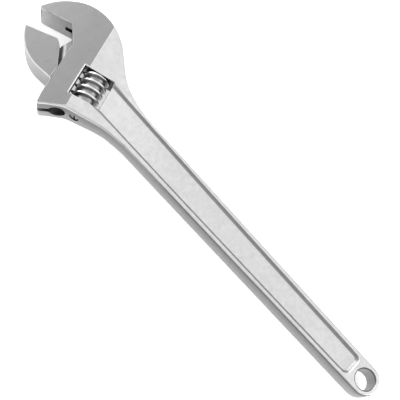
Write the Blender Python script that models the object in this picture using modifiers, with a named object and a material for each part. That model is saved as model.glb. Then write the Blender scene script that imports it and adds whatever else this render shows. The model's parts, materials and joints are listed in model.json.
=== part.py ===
"""An adjustable wrench: a forged body with its fixed jaw, a movable jaw on a racked rail,
and the worm that drives the rack, held in the body by a slotted pin and a small coil spring.

Sizes are in metres and +Z is up. The wrench lies flat, its handle along +X and its head at -X.
The head has a frame of its own: its origin is the low corner of the nose, +U runs across the
jaws' slide towards the handle, +V runs along the slide towards the fixed jaw.
"""

import math

import bmesh
import bpy
from mathutils import Matrix, Vector

# Head frame
HEAD_X = -0.15176
HEAD_Y = -0.05359
JAW_ANGLE = math.radians(22.5)

# Thickness
HEAD_THICKNESS = 0.026
HANDLE_THICKNESS = 0.019
MID_Z = HEAD_THICKNESS / 2
SLOPE_START_U = 0.024
SLOPE_LENGTH = 0.050
FORGED_EDGE = 0.0017

# Handle
TAIL_REACH = 0.3654
HANDLE_AXIS_RISE = 0.0507
NECK_REACH = 0.0804
NECK_HALF_WIDTH = 0.0174
TAIL_RADIUS = 0.0135
TAIL_HOLE_RADIUS = 0.0090
TAIL_HOLE_CHAMFER = 0.0011

# Recess in each face of the handle
RECESS_DEPTH = 0.0030
RECESS_WALL_SPREAD = 0.0027
RECESS_RIM = 0.0060
RECESS_END_GAP = 0.0070
RECESS_CORNER = 0.0030
RECESS_START = 0.0265
RECESS_LIFT = 0.0018

# Jaws
JAW_FACE_V = 0.0870
OPENING = 0.0210
THROAT_U = -0.0106
THROAT_ANGLE = math.radians(60)
TIP_U = -0.0422
TIP_ROUND = 0.0022
JAW_FACE_END_U = -0.0143
JAW_CHAMFER_U = 0.0046
JAW_CHAMFER_V = 0.0044
JAW_DIAGONAL_DROP = 0.0265

# Fits
SLIDE_GAP = 0.0003
RUNNING_GAP = 0.0004
RAIL_END_GAP = 0.0015
WEB_END_GAP = 0.0025

# Worm, its window, pin and spring
WORM_U = 0.0333
WORM_RADIUS = 0.0129
THREAD_DEPTH = 0.0037
THREAD_PITCH = 0.0075
THREAD_CREST = 0.0019
THREAD_ROOT = 0.0033
THREAD_PHASE_V = 0.0343
WORM_START_V = 0.0233
WORM_LENGTH = 0.0294
WORM_END_CHAMFER = 0.0010
THUMB_ROOM = 0.0038
WINDOW_END_GAP = 0.0005
WINDOW_TAPER = 0.0010
PIN_RADIUS = 0.0032
PIN_HEAD_RADIUS = 0.0042
PIN_HEAD_START_V = 0.0084
PIN_HEAD_LENGTH = 0.0098
PIN_PAST_WORM = 0.0093
PIN_SLOT_WIDTH = 0.0014
PIN_SLOT_DEPTH = 0.0016
SPRING_WIRE = 0.0011
SPRING_RADIUS = 0.0045
SPRING_SEAT_DEPTH = 0.0080
SPRING_TURNS = 4

# Rail and the web that joins it to the jaw: places along the slide are from the jaw's own face
RAIL_BEHIND_WORM = 0.0030
RAIL_RADIUS = 0.0070
RAIL_BELOW_FACE = 0.0520
RAIL_ABOVE_FACE = 0.0100
RAIL_CHAMFER = 0.0006
WEB_THICKNESS = 0.0050
WEB_BELOW_FACE = 0.0370
WEB_ABOVE_FACE = 0.0115
WEB_TOP_U = -0.0049
WEB_FRONT_U = -0.0102
WEB_BACK_EASE = 0.0030
WEB_SINK = 0.0060
SLOT_TOP_U = -0.0060
SLOT_FRONT_U = -0.0175

# Smoothness
CURVE_STEPS = 5
ROUND_STEPS = 40
THREAD_STEPS = 36
BEYOND = 0.030

# Places that follow from the sizes
TAIL_X = HEAD_X + TAIL_REACH
HANDLE_Y = HEAD_Y + HANDLE_AXIS_RISE
WORM_END_V = WORM_START_V + WORM_LENGTH
WINDOW_NEAR_U = WORM_U - WORM_RADIUS - RUNNING_GAP
WINDOW_FAR_U = WORM_U + WORM_RADIUS + THUMB_ROOM
PIN_END_V = WORM_END_V + PIN_PAST_WORM
SLIDING_FACE_V = JAW_FACE_V - OPENING
RAIL_U = WORM_U - WORM_RADIUS - RAIL_BEHIND_WORM
RAIL_START_V = SLIDING_FACE_V - RAIL_BELOW_FACE
RAIL_END_V = SLIDING_FACE_V + RAIL_ABOVE_FACE
CHANNEL_END_V = JAW_FACE_V + RAIL_ABOVE_FACE + RAIL_END_GAP
WEB_START_V = SLIDING_FACE_V - WEB_BELOW_FACE
WEB_END_V = SLIDING_FACE_V + WEB_ABOVE_FACE
SLOT_END_V = JAW_FACE_V + WEB_ABOVE_FACE + WEB_END_GAP
JAW_X = HEAD_X - SLIDING_FACE_V * math.sin(JAW_ANGLE)
JAW_Y = HEAD_Y + SLIDING_FACE_V * math.cos(JAW_ANGLE)

STEEL = (0.63, 0.63, 0.64, 1.0)
WORM_STEEL = (0.50, 0.50, 0.51, 1.0)
PIN_STEEL = (0.42, 0.42, 0.43, 1.0)
SPRING_STEEL = (0.30, 0.30, 0.32, 1.0)


def clear_scene():
    for thing in list(bpy.data.objects):
        bpy.data.objects.remove(thing)


def new_collection(name):
    made = bpy.data.collections.new(name)
    bpy.context.scene.collection.children.link(made)
    return made


def steel(name, colour, roughness):
    made = bpy.data.materials.new(name)
    made.use_nodes = True
    shader = made.node_tree.nodes["Principled BSDF"]
    shader.inputs["Base Color"].default_value = colour
    shader.inputs["Metallic"].default_value = 1.0
    shader.inputs["Roughness"].default_value = roughness
    return made


def head_frame(u=0.0, v=0.0):
    """Local X along U, local Y along V, local Z up, from a point of the head at mid-thickness."""
    turn = Matrix.Rotation(JAW_ANGLE, 4, "Z")
    start = Vector((HEAD_X, HEAD_Y, MID_Z)) + turn @ Vector((u, v, 0))
    return Matrix.Translation(start) @ turn


def along_slide(u, v):
    """Local X along U and local Z along V, for shapes turned about an axis parallel to the slide."""
    return head_frame(u, v) @ Matrix.Rotation(-math.pi / 2, 4, "X")


def across_head():
    """Local X along U and local Y up, for a side profile that is carried along V."""
    return head_frame() @ Matrix.Rotation(math.pi / 2, 4, "X")


def tidy(mesh, flat=False):
    """Weld the mesh, join its coplanar faces where asked, and turn its faces outwards."""
    work = bmesh.new()
    work.from_mesh(mesh)
    bmesh.ops.remove_doubles(work, verts=work.verts, dist=1e-6)
    if flat:
        bmesh.ops.dissolve_limit(
            work, angle_limit=math.radians(0.1), verts=work.verts, edges=work.edges
        )
    bmesh.ops.recalc_face_normals(work, faces=work.faces)
    work.to_mesh(mesh)
    work.free()


def meshed(guide, place, flat=False):
    """Turn a curve, or a mesh with modifiers, into a plain mesh object at its place."""
    bpy.context.scene.collection.objects.link(guide)
    graph = bpy.context.evaluated_depsgraph_get()
    mesh = bpy.data.meshes.new_from_object(guide.evaluated_get(graph))
    name = guide.name
    bpy.data.objects.remove(guide)
    tidy(mesh, flat)
    solid = bpy.data.objects.new(name, mesh)
    solid.matrix_world = place
    return solid


def plate(name, points, half_height, place):
    """A closed outline of (x, y, smooth) points, made a plate of twice the half height."""
    curve = bpy.data.curves.new(name, "CURVE")
    curve.dimensions = "2D"
    curve.fill_mode = "BOTH"
    curve.extrude = half_height
    curve.resolution_u = CURVE_STEPS
    spline = curve.splines.new("BEZIER")
    spline.use_cyclic_u = True
    spline.bezier_points.add(len(points) - 1)
    for knot, (x, y, smooth) in zip(spline.bezier_points, points):
        knot.co = (x, y, 0)
        kind = "AUTO" if smooth else "VECTOR"
        knot.handle_left_type = kind
        knot.handle_right_type = kind
    return meshed(bpy.data.objects.new(name, curve), place, flat=True)


def corners(points):
    return [(x, y, False) for x, y in points]


def turned(name, profile, place, steps=ROUND_STEPS):
    """A solid turned about local Z from (radius, height) points that start and end on the axis."""
    mesh = bpy.data.meshes.new(name)
    edges = [(i, i + 1) for i in range(len(profile) - 1)]
    mesh.from_pydata([(radius, 0, height) for radius, height in profile], edges, [])
    guide = bpy.data.objects.new(name, mesh)
    screw = guide.modifiers.new("Turn", "SCREW")
    screw.steps = steps
    screw.render_steps = steps
    screw.use_merge_vertices = True
    screw.merge_threshold = 0.00001
    return meshed(guide, place)


def rod(name, radius, length, place, steps=ROUND_STEPS):
    profile = ((0, length), (radius, length), (radius, 0), (0, 0))
    return turned(name, profile, place, steps)


def loft(name, low_ring, high_ring):
    """A closed solid between two level rings that have the same number of points."""
    mesh = bpy.data.meshes.new(name)
    count = len(low_ring)
    sides = []
    for i in range(count):
        after = (i + 1) % count
        sides += [(i, after, count + after), (i, count + after, count + i)]
    caps = [tuple(range(count)), tuple(range(count, 2 * count))]
    mesh.from_pydata(list(low_ring) + list(high_ring), [], sides + caps)
    tidy(mesh)
    return bpy.data.objects.new(name, mesh)


def combine(solid, tool, operation, tools, solver="EXACT"):
    """Add a Boolean to the solid and put its tool away with the other helpers."""
    tool.hide_render = True
    tool.display_type = "WIRE"
    tools.objects.link(tool)
    boolean = solid.modifiers.new(tool.name, "BOOLEAN")
    boolean.operation = operation
    boolean.solver = solver
    boolean.object = tool


def round_edges(solid, width):
    """Round the forged edges, once points too close together for the rounding are joined."""
    weld = solid.modifiers.new("Join close points", "WELD")
    weld.merge_threshold = width
    bevel = solid.modifiers.new("Forged edges", "BEVEL")
    bevel.width = width
    bevel.segments = 3
    bevel.limit_method = "ANGLE"
    bevel.angle_limit = math.radians(40)
    bevel.use_clamp_overlap = False
    bevel.loop_slide = False


def body_outline():
    """The forging's plan outline: the back of the fixed jaw, the handle, the tail and the nose."""
    fixed_jaw_back = (
        (-0.0751, 0.0676), (-0.0709, 0.0803), (-0.0632, 0.0921), (-0.0526, 0.1016),
        (-0.0396, 0.1068), (-0.0256, 0.1079), (-0.0116, 0.1057), (0.0014, 0.1000),
        (0.0134, 0.0917), (0.0254, 0.0830), (0.0374, 0.0762), (0.0514, 0.0717),
        (0.0664, 0.0690),
    )
    under_the_head = (
        (0.0674, 0.0319), (0.0564, 0.0301), (0.0454, 0.0265), (0.0324, 0.0214),
        (0.0206, 0.0166), (0.0144, 0.0120), (0.0069, 0.0049), (0.0022, -0.0002),
    )
    points = [(HEAD_X + x, HEAD_Y + y, True) for x, y in fixed_jaw_back]
    neck_x = HEAD_X + NECK_REACH
    points.append((neck_x, HANDLE_Y + NECK_HALF_WIDTH, False))
    for degrees in (90, 45, 0, -45, -90):
        angle = math.radians(degrees)
        x = TAIL_X + TAIL_RADIUS * math.cos(angle)
        points.append((x, HANDLE_Y + TAIL_RADIUS * math.sin(angle), True))
    points.append((neck_x, HANDLE_Y - NECK_HALF_WIDTH, False))
    points += [(HEAD_X + x, HEAD_Y + y, True) for x, y in under_the_head]
    in_front = ((-0.0022, -0.0012), (-0.0120, 0.0040), (-0.0500, 0.0450), (-0.0776, 0.0560))
    points += [(HEAD_X + x, HEAD_Y + y, False) for x, y in in_front]
    return points


def side_profile():
    """The forging's thickness along U: level over the ground head, then down to the handle."""
    low = HANDLE_THICKNESS / 2
    high = HEAD_THICKNESS / 2
    end_u = SLOPE_START_U + SLOPE_LENGTH
    top = [(-0.200, high), (SLOPE_START_U, high)]
    for share in (0.25, 0.5, 0.7, 0.85, 1.0):
        fall = math.sin(share * math.pi / 2)
        top.append((SLOPE_START_U + share * (end_u - SLOPE_START_U), high - (high - low) * fall))
    top.append((TAIL_REACH + 0.200, low))
    return top + [(u, -z) for u, z in reversed(top)]


def recess_ring(spread, height):
    """The recess's plan ring, moved outwards by the spread, at a height above mid-thickness."""
    taper = (NECK_HALF_WIDTH - TAIL_RADIUS) / (TAIL_REACH - NECK_REACH)
    end = TAIL_REACH - TAIL_HOLE_RADIUS - RECESS_END_GAP + spread

    def half_width(reach):
        return NECK_HALF_WIDTH - RECESS_RIM - taper * (reach - NECK_REACH) + spread

    corner = RECESS_CORNER + spread
    ring = []
    for degrees in (90, 60, 30, 0):
        angle = math.radians(degrees)
        x = end - corner + corner * math.cos(angle)
        ring.append((x, half_width(end) - corner + corner * math.sin(angle)))
    ring += [(x, -y) for x, y in reversed(ring)]
    ring.append((RECESS_START, RECESS_LIFT - half_width(RECESS_START)))
    ring.append((RECESS_START, RECESS_LIFT + half_width(RECESS_START)))
    return [(HEAD_X + x, HANDLE_Y + y, MID_Z + height) for x, y in ring]


def recess_cutter(side):
    floor = side * (HANDLE_THICKNESS / 2 - RECESS_DEPTH)
    rise = 0.0080
    spread = rise * RECESS_WALL_SPREAD / RECESS_DEPTH
    name = "recess_above" if side > 0 else "recess_below"
    return loft(name, recess_ring(0.0, floor), recess_ring(spread, floor + side * rise))


def throat_cutter():
    """Everything in front of the slide and below the fixed jaw's face, with a rounded tip."""
    slope_end_v = JAW_FACE_V + THROAT_U * math.tan(THROAT_ANGLE)
    shape = [(0.0, -BEYOND), (0.0, slope_end_v), (THROAT_U, JAW_FACE_V)]
    for degrees in (-90, -120, -150, -180, -210):
        angle = math.radians(degrees)
        u = TIP_U + TIP_ROUND * math.cos(angle)
        shape.append((u, JAW_FACE_V + TIP_ROUND * (1 + math.sin(angle))))
    far_u = TIP_U - 2 * BEYOND
    shape += [(far_u, shape[-1][1]), (far_u, -BEYOND)]
    return plate("throat_cut", corners(shape), BEYOND, head_frame())


def window_cutter():
    low = WORM_START_V - WINDOW_END_GAP
    high = WORM_END_V + WINDOW_END_GAP
    shape = (
        (WINDOW_NEAR_U, low - WINDOW_TAPER), (WINDOW_FAR_U, low),
        (WINDOW_FAR_U, high), (WINDOW_NEAR_U, high + WINDOW_TAPER),
    )
    return plate("window_cut", corners(shape), BEYOND, head_frame())


def slot_cutter():
    """The slot that the web slides in, with a sloping end cut into the root of the fixed jaw."""
    past_face = 0.003
    slope = (SLOT_TOP_U - SLOT_FRONT_U) / (SLOT_END_V - JAW_FACE_V)
    front_u = SLOT_FRONT_U - slope * past_face
    shape = (
        (RAIL_U, -BEYOND), (RAIL_U, SLOT_END_V), (SLOT_TOP_U, SLOT_END_V),
        (front_u, JAW_FACE_V - past_face), (front_u, -BEYOND),
    )
    return plate("slot_cut", corners(shape), WEB_THICKNESS / 2 + SLIDE_GAP, head_frame())


def tail_hole_cutter():
    face = HANDLE_THICKNESS / 2
    flare = 0.002
    wide = TAIL_HOLE_RADIUS + TAIL_HOLE_CHAMFER + flare
    profile = (
        (0, face + flare), (wide, face + flare), (TAIL_HOLE_RADIUS, face - TAIL_HOLE_CHAMFER),
        (TAIL_HOLE_RADIUS, TAIL_HOLE_CHAMFER - face), (wide, -face - flare), (0, -face - flare),
    )
    return turned("tail_hole_cut", profile, Matrix.Translation((TAIL_X, HANDLE_Y, MID_Z)))


def pin_hole_cutter():
    shoulder = PIN_HEAD_START_V + PIN_HEAD_LENGTH + RUNNING_GAP
    end = PIN_END_V + RUNNING_GAP
    wide = PIN_HEAD_RADIUS + RUNNING_GAP
    narrow = PIN_RADIUS + SLIDE_GAP
    profile = ((0, end), (narrow, end), (narrow, shoulder), (wide, shoulder), (wide, -BEYOND), (0, -BEYOND))
    return turned("pin_hole_cut", profile, along_slide(WORM_U, 0))


def make_body(tools):
    place = Matrix.Translation((0, 0, MID_Z))
    body = plate("body", body_outline(), BEYOND, place)
    profile = plate("side_profile", corners(side_profile()), 0.6, across_head())
    combine(body, profile, "INTERSECT", tools)
    round_edges(body, FORGED_EDGE)
    channel_length = CHANNEL_END_V + BEYOND
    cutters = (
        throat_cutter(), window_cutter(), recess_cutter(1), recess_cutter(-1),
        rod("channel_cut", RAIL_RADIUS + RUNNING_GAP, channel_length, along_slide(RAIL_U, -BEYOND)),
        slot_cutter(), pin_hole_cutter(), tail_hole_cutter(),
    )
    # The rounded edges' many thin faces need the manifold solver: the exact one leaves gaps.
    for cutter in cutters:
        combine(body, cutter, "DIFFERENCE", tools, "MANIFOLD")
    return body


def jaw_outline():
    """The movable jaw's forging, with stock left on every side that is machined afterwards."""
    outer_side = (
        (-0.04274, -0.01858), (-0.03944, -0.02238), (-0.03434, -0.02718), (-0.02934, -0.03078),
        (-0.02434, -0.03348), (-0.01934, -0.03568), (-0.01434, -0.03708), (-0.00934, -0.03788),
        (-0.00434, -0.03808), (0.00066, -0.03778), (0.00566, -0.03728), (0.01466, -0.03638),
    )
    points = [(JAW_X + x, JAW_Y + y, True) for x, y in outer_side]
    stock = ((0.03526, -0.03498), (0.03126, 0.00902), (-0.05074, -0.00498))
    return points + [(JAW_X + x, JAW_Y + y, False) for x, y in stock]


def jaw_machining_cutter():
    """What is cut off the forging: above the jaw face, beside the slide and along the throat."""
    far_u = TIP_U - 2 * BEYOND
    high_v = JAW_FACE_V + 2 * BEYOND
    shape = (
        (far_u, SLIDING_FACE_V), (JAW_FACE_END_U, SLIDING_FACE_V),
        (JAW_FACE_END_U + JAW_CHAMFER_U, SLIDING_FACE_V - JAW_CHAMFER_V),
        (-SLIDE_GAP, SLIDING_FACE_V - JAW_DIAGONAL_DROP), (-SLIDE_GAP, -BEYOND),
        (2 * BEYOND, -BEYOND), (2 * BEYOND, high_v), (far_u, high_v),
    )
    return plate("jaw_machining", corners(shape), BEYOND, head_frame())


def web_plate():
    shape = (
        (-WEB_SINK, WEB_START_V), (RAIL_U, WEB_START_V), (RAIL_U, WEB_END_V - WEB_BACK_EASE),
        (RAIL_U - 3 * WEB_BACK_EASE, WEB_END_V), (WEB_TOP_U, WEB_END_V),
        (WEB_FRONT_U, SLIDING_FACE_V), (WEB_FRONT_U, SLIDING_FACE_V - WEB_SINK),
    )
    return plate("web", corners(shape), WEB_THICKNESS / 2, head_frame())


def rail_solid():
    """The round rail, chamfered at both ends."""
    length = RAIL_END_V - RAIL_START_V
    inner = RAIL_RADIUS - RAIL_CHAMFER
    profile = (
        (0, length), (inner, length), (RAIL_RADIUS, length - RAIL_CHAMFER),
        (RAIL_RADIUS, RAIL_CHAMFER), (inner, 0), (0, 0),
    )
    return turned("rail", profile, along_slide(RAIL_U, RAIL_START_V))


def rack_cutter():
    """The flat that the teeth stand up to, and the tilted grooves between the teeth."""
    tip_u = WORM_U - (WORM_RADIUS - THREAD_DEPTH) - RUNNING_GAP
    root_u = WINDOW_NEAR_U
    half_root = THREAD_CREST / 2 + SLIDE_GAP
    half_tip = THREAD_ROOT / 2 + SLIDE_GAP
    reach = RAIL_U + RAIL_RADIUS + SLIDE_GAP
    flare = (half_tip - half_root) / (tip_u - root_u)
    half_reach = half_tip + flare * (reach - tip_u)
    tilt = THREAD_PITCH / (2 * math.pi * (WORM_RADIUS - THREAD_DEPTH / 2))
    first = math.floor((RAIL_START_V - THREAD_PHASE_V) / THREAD_PITCH)
    last = math.floor((RAIL_END_V - THREAD_PHASE_V) / THREAD_PITCH)
    high = RAIL_RADIUS + 0.001
    work = bmesh.new()
    for turn in range(first, last + 1):
        centre_v = THREAD_PHASE_V + turn * THREAD_PITCH
        section = ((root_u, -half_root), (root_u, half_root), (reach, half_reach), (reach, -half_reach))
        rings = [
            [work.verts.new((u, centre_v + v + tilt * z, z)) for u, v in section]
            for z in (-high, high)
        ]
        for i in range(4):
            j = (i + 1) % 4
            work.faces.new((rings[0][i], rings[0][j], rings[1][j], rings[1][i]))
        for ring in rings:
            work.faces.new(ring)
    bmesh.ops.recalc_face_normals(work, faces=work.faces)
    mesh = bpy.data.meshes.new("rack_cut")
    work.to_mesh(mesh)
    work.free()
    grooves = bpy.data.objects.new("rack_cut", mesh)
    grooves.matrix_world = head_frame()
    low = RAIL_START_V - BEYOND
    end = RAIL_END_V + BEYOND
    above = corners(((tip_u, low), (WINDOW_FAR_U, low), (WINDOW_FAR_U, end), (tip_u, end)))
    return plate("rack_flat_cut", above, BEYOND, head_frame()), grooves


def make_movable_jaw(tools):
    jaw = plate("movable_jaw", jaw_outline(), HEAD_THICKNESS / 2, Matrix.Translation((0, 0, MID_Z)))
    round_edges(jaw, FORGED_EDGE)
    combine(jaw, jaw_machining_cutter(), "DIFFERENCE", tools)
    combine(jaw, web_plate(), "UNION", tools)
    combine(jaw, rail_solid(), "UNION", tools)
    for cutter in rack_cutter():
        combine(jaw, cutter, "DIFFERENCE", tools)
    return jaw


def thread_ridge():
    """One helical ridge, longer than the worm at both ends, sunk into the worm's core."""
    turns = math.ceil(WORM_LENGTH / THREAD_PITCH) + 2
    sink = 0.0008
    core = WORM_RADIUS - THREAD_DEPTH - sink
    half_root = THREAD_ROOT / 2 + sink * (THREAD_ROOT - THREAD_CREST) / (2 * THREAD_DEPTH)
    half_crest = THREAD_CREST / 2
    edge = 0.0004
    section = (
        (core, half_root), (WORM_RADIUS - edge, half_crest + 0.0001), (WORM_RADIUS, half_crest - edge),
        (WORM_RADIUS, edge - half_crest), (WORM_RADIUS - edge, -half_crest - 0.0001), (core, -half_root),
    )
    mesh = bpy.data.meshes.new("thread")
    loop = [(i, (i + 1) % len(section)) for i in range(len(section))]
    mesh.from_pydata([(radius, 0, height) for radius, height in section], loop, [])
    guide = bpy.data.objects.new("thread", mesh)
    screw = guide.modifiers.new("Thread", "SCREW")
    screw.steps = THREAD_STEPS
    screw.render_steps = THREAD_STEPS
    screw.iterations = turns
    screw.screw_offset = THREAD_PITCH
    # Turned by half a turn, the ridge faces the rail at THREAD_PHASE_V and at each pitch from it.
    first = math.floor((WORM_START_V - THREAD_PHASE_V) / THREAD_PITCH) - 1
    start = THREAD_PHASE_V + first * THREAD_PITCH
    place = along_slide(WORM_U, start) @ Matrix.Rotation(math.pi, 4, "Z")
    ridge = meshed(guide, place)
    work = bmesh.new()
    work.from_mesh(ridge.data)
    bmesh.ops.holes_fill(work, edges=work.edges, sides=len(section))
    bmesh.ops.recalc_face_normals(work, faces=work.faces)
    work.to_mesh(ridge.data)
    work.free()
    return ridge


def make_worm(tools):
    start = WORM_START_V - THREAD_PITCH
    core = WORM_RADIUS - THREAD_DEPTH
    worm = rod("worm", core, WORM_LENGTH + 2 * THREAD_PITCH, along_slide(WORM_U, start), THREAD_STEPS)
    combine(worm, thread_ridge(), "UNION", tools)
    end = WORM_RADIUS - WORM_END_CHAMFER
    rise = WORM_END_CHAMFER + THREAD_DEPTH
    wide = end + rise
    profile = (
        (0, WORM_LENGTH), (end, WORM_LENGTH), (wide, WORM_LENGTH - rise), (wide, rise), (end, 0), (0, 0),
    )
    trim_to = turned("worm_trim", profile, along_slide(WORM_U, WORM_START_V), 2 * THREAD_STEPS)
    combine(worm, trim_to, "INTERSECT", tools)
    bore = PIN_RADIUS + RUNNING_GAP
    seat = SPRING_RADIUS + SPRING_WIRE / 2 + 2 * RUNNING_GAP
    seat_start = WORM_LENGTH - SPRING_SEAT_DEPTH
    end = WORM_LENGTH + 0.002
    profile = ((0, end), (seat, end), (seat, seat_start), (bore, seat_start), (bore, -0.002), (0, -0.002))
    bored = turned("worm_bore_cut", profile, along_slide(WORM_U, WORM_START_V))
    combine(worm, bored, "DIFFERENCE", tools)
    return worm


def make_pin(tools):
    shoulder = PIN_HEAD_START_V + PIN_HEAD_LENGTH
    chamfer = 0.0005
    profile = (
        (0, PIN_END_V), (PIN_RADIUS - chamfer, PIN_END_V), (PIN_RADIUS, PIN_END_V - chamfer),
        (PIN_RADIUS, shoulder), (PIN_HEAD_RADIUS, shoulder),
        (PIN_HEAD_RADIUS, PIN_HEAD_START_V + chamfer),
        (PIN_HEAD_RADIUS - chamfer, PIN_HEAD_START_V), (0, PIN_HEAD_START_V),
    )
    pin = turned("worm_pin", profile, along_slide(WORM_U, 0))
    half = PIN_SLOT_WIDTH / 2
    low = PIN_HEAD_START_V - 0.002
    high = PIN_HEAD_START_V + PIN_SLOT_DEPTH
    shape = ((WORM_U - half, low), (WORM_U + half, low), (WORM_U + half, high), (WORM_U - half, high))
    combine(pin, plate("pin_slot_cut", corners(shape), 0.010, head_frame()), "DIFFERENCE", tools)
    return pin


def make_spring():
    """A coil round the pin, from the bottom of its seat in the worm to the window's far wall."""
    window_high = WORM_END_V + WINDOW_END_GAP
    low = WORM_END_V - SPRING_SEAT_DEPTH + SPRING_WIRE / 2 + RUNNING_GAP
    high = window_high - SPRING_WIRE / 2
    per_turn = 16
    curve = bpy.data.curves.new("worm_spring", "CURVE")
    curve.dimensions = "3D"
    curve.bevel_depth = SPRING_WIRE / 2
    curve.bevel_resolution = 2
    curve.use_fill_caps = True
    spline = curve.splines.new("POLY")
    count = SPRING_TURNS * per_turn + 1
    spline.points.add(count - 1)
    for i, point in enumerate(spline.points):
        angle = 2 * math.pi * i / per_turn
        height = (high - low) * i / (count - 1)
        point.co = (SPRING_RADIUS * math.cos(angle), SPRING_RADIUS * math.sin(angle), height, 1)
    return meshed(bpy.data.objects.new("worm_spring", curve), along_slide(WORM_U, low))


def finish(part, material, parts):
    parts.objects.link(part)
    part.data.materials.clear()
    part.data.materials.append(material)
    part.data.shade_smooth()
    part.data.set_sharp_from_angle(angle=math.radians(30))


def main():
    clear_scene()
    parts = new_collection("adjustable_wrench")
    tools = new_collection("cutters")
    tools.hide_render = True
    finish(make_body(tools), steel("forged_steel", STEEL, 0.42), parts)
    finish(make_movable_jaw(tools), steel("jaw_steel", STEEL, 0.40), parts)
    finish(make_worm(tools), steel("worm_steel", WORM_STEEL, 0.33), parts)
    finish(make_pin(tools), steel("pin_steel", PIN_STEEL, 0.38), parts)
    finish(make_spring(), steel("spring_steel", SPRING_STEEL, 0.35), parts)


main()
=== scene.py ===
# %% [markdown]
# # An adjustable wrench in satin plate
# The wrench is five pieces of steel: the forged body with its fixed jaw, the movable jaw on its
# racked rail, the worm that drives the rack, the worm's slotted pin and a small coil spring.
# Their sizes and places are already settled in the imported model. This script gives each piece
# its finished surface: the rounded edges of a forging, the flats left by a grinding belt, a
# thread and a rack that mesh, and plate with the faint orange peel of a real one.

# %% Load the settled model
import json
import math
import bmesh
import bpy
import numpy as np
from mathutils import Matrix, Vector
from mathutils.geometry import delaunay_2d_cdt

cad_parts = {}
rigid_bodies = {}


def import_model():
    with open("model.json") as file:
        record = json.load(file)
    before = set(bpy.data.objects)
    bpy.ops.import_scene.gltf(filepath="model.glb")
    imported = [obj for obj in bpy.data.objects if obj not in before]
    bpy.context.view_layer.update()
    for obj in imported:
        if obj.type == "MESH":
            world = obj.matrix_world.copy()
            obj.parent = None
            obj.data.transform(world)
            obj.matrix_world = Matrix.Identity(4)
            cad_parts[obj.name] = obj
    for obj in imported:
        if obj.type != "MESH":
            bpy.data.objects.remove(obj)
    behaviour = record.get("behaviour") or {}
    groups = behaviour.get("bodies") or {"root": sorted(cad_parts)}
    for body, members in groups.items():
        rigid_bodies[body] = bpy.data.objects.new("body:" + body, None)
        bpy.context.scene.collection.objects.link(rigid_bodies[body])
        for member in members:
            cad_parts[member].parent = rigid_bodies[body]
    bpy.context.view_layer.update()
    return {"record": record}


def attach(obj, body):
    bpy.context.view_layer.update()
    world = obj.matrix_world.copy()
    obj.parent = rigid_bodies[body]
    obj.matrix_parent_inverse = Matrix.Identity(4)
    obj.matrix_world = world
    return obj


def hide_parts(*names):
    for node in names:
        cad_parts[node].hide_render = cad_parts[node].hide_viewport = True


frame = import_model()

# %% [markdown]
# ## Where things are
# A wrench's head is drawn in a frame of its own, because the jaws slide 22.5 degrees off the
# handle. `u` runs across the slide towards the handle and `v` along it towards the fixed jaw.
# Both start at the low corner of the nose. The slide's direction comes from the model's joint and
# the nose from its mount on the fixed jaw's face, so the drawing follows the settled model.
# Sizes are in millimetres, as on a drawing, and become metres when a mesh is placed.

# %% The head's frame
MM = 0.001
MID_HEIGHT = 13.0
JAW_FACE_V = 87.0
JAW_MOUNT_U = -28.0
OPENING = 21.0
TAIL_REACH = 365.4
TAIL_RISE = 50.7

record = frame["record"]
slide_joint = next(j for j in record["behaviour"]["joints"] if j["name"] == "jaw_slide")
jaw_mount = next(m for m in record["mounts"] if m["name"] == "fixed_jaw_face")
ALONG = np.array(slide_joint["axis"][:2])
ACROSS = np.array((ALONG[1], -ALONG[0]))
NOSE = np.array(jaw_mount["pos_m"][:2]) / MM - JAW_MOUNT_U * ACROSS - JAW_FACE_V * ALONG
TAIL = NOSE + (TAIL_REACH, TAIL_RISE)


def from_head(u, v):
    return NOSE + u * ACROSS + v * ALONG


def head_u(points):
    return (points - NOSE) @ ACROSS


def axis_place(u, v):
    """Millimetres with x along u, y down and z along v, from an axis parallel to the slide."""
    x, y = from_head(u, v) * MM
    return Matrix((
        (ACROSS[0] * MM, 0, ALONG[0] * MM, x),
        (ACROSS[1] * MM, 0, ALONG[1] * MM, y),
        (0, -MM, 0, MID_HEIGHT * MM),
        (0, 0, 0, 1),
    ))


print("nose corner, mm:", NOSE.round(2), " tail hole, mm:", TAIL.round(2))

# %% [markdown]
# ## Drawing a forging in plan
# A forging's outline is a few straight runs joined by easy curves. A Catmull-Rom curve passes
# through every point that is given to it, so the outline needs only a point where the curve
# changes. Corners that a grinder has eased are arcs between two straight runs.

# %% Curves and corners
def smooth_path(points, before, after, spacing=1.7):
    """An open path through the points, heading in from `before` and out towards `after`."""
    stops = np.vstack([before, points, after]).astype(float)
    path = []
    for a, b, c, d in zip(stops, stops[1:], stops[2:], stops[3:]):
        count = max(2, int(np.linalg.norm(c - b) / spacing))
        for t in np.arange(count) / count:
            bend = (2 * a - 5 * b + 4 * c - d) * t + (3 * b - a - 3 * c + d) * t * t
            path.append(0.5 * (2 * b + (c - a) * t + bend * t))
    path.append(stops[-2])
    return np.array(path)


def arc(centre, radius, start, end, steps):
    angles = np.radians(np.linspace(start, end, steps + 1))
    return centre + radius * np.stack([np.cos(angles), np.sin(angles)], axis=1)


def eased_corner(before, corner, after, radius, steps=6):
    """The arc that replaces a sharp corner between two straight runs."""
    back = (before - corner) / np.linalg.norm(before - corner)
    ahead = (after - corner) / np.linalg.norm(after - corner)
    half = math.acos(np.clip(back @ ahead, -1, 1)) / 2
    middle = corner + (back + ahead) / np.linalg.norm(back + ahead) * radius / math.sin(half)
    first = corner + back * radius / math.tan(half)
    last = corner + ahead * radius / math.tan(half)
    swing = []
    for t in np.linspace(0, 1, steps + 1):
        spoke = (1 - t) * (first - middle) + t * (last - middle)
        swing.append(middle + spoke / np.linalg.norm(spoke) * radius)
    return np.array(swing)


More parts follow.
